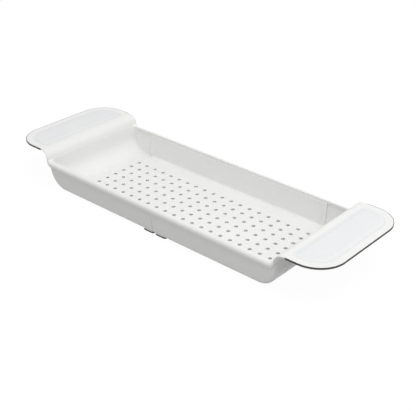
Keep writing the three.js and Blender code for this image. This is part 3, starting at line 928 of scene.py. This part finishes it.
WHITE_PLASTIC = surface(
    "white_plastic",
    dark=(0.840, 0.840, 0.831),
    light=(0.862, 0.862, 0.854),
    tone_scale=14.0,
    rough_low=0.27,
    rough_high=0.36,
    rough_scale=40.0,
    bumps=((60.0, 2.0, 0.0004, 0.10), (1400.0, 2.0, 0.00002, 0.35)),
    extras={"IOR": 1.46},
)
SOFT_GRIP = surface(
    "soft_grip",
    dark=(0.794, 0.799, 0.806),
    light=(0.814, 0.819, 0.826),
    tone_scale=22.0,
    rough_low=0.52,
    rough_high=0.66,
    rough_scale=120.0,
    bumps=((2600.0, 3.0, 0.00004, 0.55),),
    extras={"IOR": 1.48},
)
DARK_RUBBER = surface(
    "dark_rubber",
    dark=(0.066, 0.065, 0.066),
    light=(0.090, 0.089, 0.090),
    tone_scale=90.0,
    rough_low=0.72,
    rough_high=0.86,
    rough_scale=160.0,
    bumps=((1800.0, 4.0, 0.00008, 0.6),),
    extras={"IOR": 1.5},
)

# Each look: a material and its name
WHITE = (WHITE_PLASTIC, "white_plastic")
GRIP = (SOFT_GRIP, "soft_grip")
RUBBER = (DARK_RUBBER, "dark_rubber")


def finish_piece(obj, look, node, body, turned=False):
    """Turns and dresses a piece, hides the part it stands for and attaches it to its body."""
    material, slot = look
    if turned:
        obj.data.transform(Matrix.Rotation(HALF_TURN, 4, "Z"))
    obj.data.materials.clear()
    obj.data.materials.append(material)
    soften(obj)
    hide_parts(node)
    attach(obj, body)


# Pieces

finish_piece(tray_piece("tray_moulding"), WHITE, "centre_tray", "tray")
for label, front, turned in (("right", -1, False), ("left", 1, True)):
    body = f"{label}_end"
    parts = (
        (shell_piece(f"{label}_end_moulding"), WHITE, f"end_shell_{label}"),
        (grip_piece(f"{label}_wing_grip"), GRIP, f"grip_inlay_{label}"),
        (pad_piece(f"{label}_wing_rubber"), RUBBER, f"wing_pad_{label}"),
        (foot_piece(f"{label}_front_foot", front), RUBBER, f"foot_{label}_front"),
        (foot_piece(f"{label}_back_foot", -front), RUBBER, f"foot_{label}_back"),
    )
    for obj, look, node in parts:
        finish_piece(obj, look, node, body, turned)


# Floor, world, lamps and camera: metres, but millimetres for the lens and the sensor

FLOOR_SIZE = 14.0
FLOOR_GLOW_SHARE = 0.90
FLOOR_GLOW_STRENGTH = 1.07
FLOOR_GREY = 0.48
SKY_STRENGTH = 0.54
SUN_SPREAD = math.radians(60)
SUNS = (
    # name, azimuth, elevation, strength
    ("sun_right", math.radians(15), math.radians(48), 0.38),
    ("sun_front", math.radians(285), math.radians(60), 0.33),
    ("sun_left", math.radians(205), math.radians(42), 0.09),
)
SOFTBOX_AZIMUTH = math.radians(355)
SOFTBOX_ELEVATION = math.radians(66)
SOFTBOX_DISTANCE = 1.45
SOFTBOX_DIAMETER = 1.2
SOFTBOX_POWER = 6.7
CAMERA_POSITION = Vector((0.8209191, -0.9282471, 0.6960496))
CAMERA_VIEW = Vector((-0.567779, 0.664826, -0.485421))
CAMERA_UP = Vector((-0.327398, 0.358664, 0.874168))
CAMERA_LENS = 76.947
CAMERA_SENSOR = 36.0
CAMERA_REACH = 50.0


def seen_directly(nodes, links):
    """1 for rays that come from the camera, from a mirror or through glass."""
    path = nodes.new("ShaderNodeLightPath")
    total = path.outputs["Is Camera Ray"]
    for other in ("Is Glossy Ray", "Is Transmission Ray"):
        node = nodes.new("ShaderNodeMath")
        node.operation = "MAXIMUM"
        links.new(total, node.inputs[0])
        links.new(path.outputs[other], node.inputs[1])
        total = node.outputs[0]
    return total


def floor_material():
    material = bpy.data.materials.new("floor")
    material.use_nodes = True
    nodes = material.node_tree.nodes
    links = material.node_tree.links
    nodes.clear()
    out = nodes.new("ShaderNodeOutputMaterial")
    matt = nodes.new("ShaderNodeBsdfDiffuse")
    matt.inputs["Color"].default_value = (FLOOR_GREY, FLOOR_GREY, FLOOR_GREY, 1)
    glow = nodes.new("ShaderNodeEmission")
    glow.inputs["Color"].default_value = (1, 1, 1, 1)
    glow.inputs["Strength"].default_value = FLOOR_GLOW_STRENGTH
    share = nodes.new("ShaderNodeMath")
    share.operation = "MULTIPLY"
    share.inputs[1].default_value = FLOOR_GLOW_SHARE
    links.new(seen_directly(nodes, links), share.inputs[0])
    mix = nodes.new("ShaderNodeMixShader")
    links.new(share.outputs[0], mix.inputs[0])
    links.new(matt.outputs[0], mix.inputs[1])
    links.new(glow.outputs[0], mix.inputs[2])
    links.new(mix.outputs[0], out.inputs["Surface"])
    return material


def add_floor():
    half = FLOOR_SIZE / 2 / MM
    corners = [(-half, -half, 0), (half, -half, 0), (half, half, 0), (-half, half, 0)]
    floor = mesh_object("floor", corners, [(0, 1, 2, 3)])
    floor.data.materials.append(floor_material())


def add_world():
    world = bpy.data.worlds.new("studio")
    bpy.context.scene.world = world
    world.use_nodes = True
    nodes = world.node_tree.nodes
    links = world.node_tree.links
    nodes.clear()
    out = nodes.new("ShaderNodeOutputWorld")
    lit = nodes.new("ShaderNodeBackground")
    lit.inputs["Color"].default_value = (1, 1, 1, 1)
    lit.inputs["Strength"].default_value = SKY_STRENGTH
    shown = nodes.new("ShaderNodeBackground")
    shown.inputs["Color"].default_value = (1, 1, 1, 1)
    shown.inputs["Strength"].default_value = 1.0
    mix = nodes.new("ShaderNodeMixShader")
    links.new(seen_directly(nodes, links), mix.inputs[0])
    links.new(lit.outputs[0], mix.inputs[1])
    links.new(shown.outputs[0], mix.inputs[2])
    links.new(mix.outputs[0], out.inputs["Surface"])


def from_angles(azimuth, elevation):
    level = math.cos(elevation)
    return Vector((level * math.cos(azimuth), level * math.sin(azimuth), math.sin(elevation)))


def add_lamp(name, kind, strength, direction, distance=0.0):
    """A lamp that shines from the given direction at the middle of the scene."""
    lamp = bpy.data.lights.new(name, kind)
    lamp.energy = strength
    obj = bpy.data.objects.new(name, lamp)
    obj.location = direction * distance
    obj.rotation_mode = "QUATERNION"
    obj.rotation_quaternion = direction.to_track_quat("Z", "Y")
    bpy.context.scene.collection.objects.link(obj)
    return lamp


def add_lamps():
    for name, azimuth, elevation, strength in SUNS:
        add_lamp(name, "SUN", strength, from_angles(azimuth, elevation)).angle = SUN_SPREAD
    towards = from_angles(SOFTBOX_AZIMUTH, SOFTBOX_ELEVATION)
    softbox = add_lamp("softbox", "AREA", SOFTBOX_POWER, towards, SOFTBOX_DISTANCE)
    softbox.shape = "DISK"
    softbox.size = SOFTBOX_DIAMETER


def add_camera():
    back = -CAMERA_VIEW.normalized()
    side = CAMERA_UP.cross(back).normalized()
    up = back.cross(side)
    data = bpy.data.cameras.new("camera")
    data.sensor_width = CAMERA_SENSOR
    data.lens = CAMERA_LENS
    data.clip_end = CAMERA_REACH
    camera = bpy.data.objects.new("camera", data)
    turn = Matrix((side, up, back)).transposed().to_4x4()
    camera.matrix_world = Matrix.Translation(CAMERA_POSITION) @ turn
    bpy.context.scene.collection.objects.link(camera)
    bpy.context.scene.camera = camera


add_floor()
add_world()
add_lamps()
add_camera()
bpy.context.scene.view_settings.view_transform = "Standard"

bpy.context.view_layer.update()
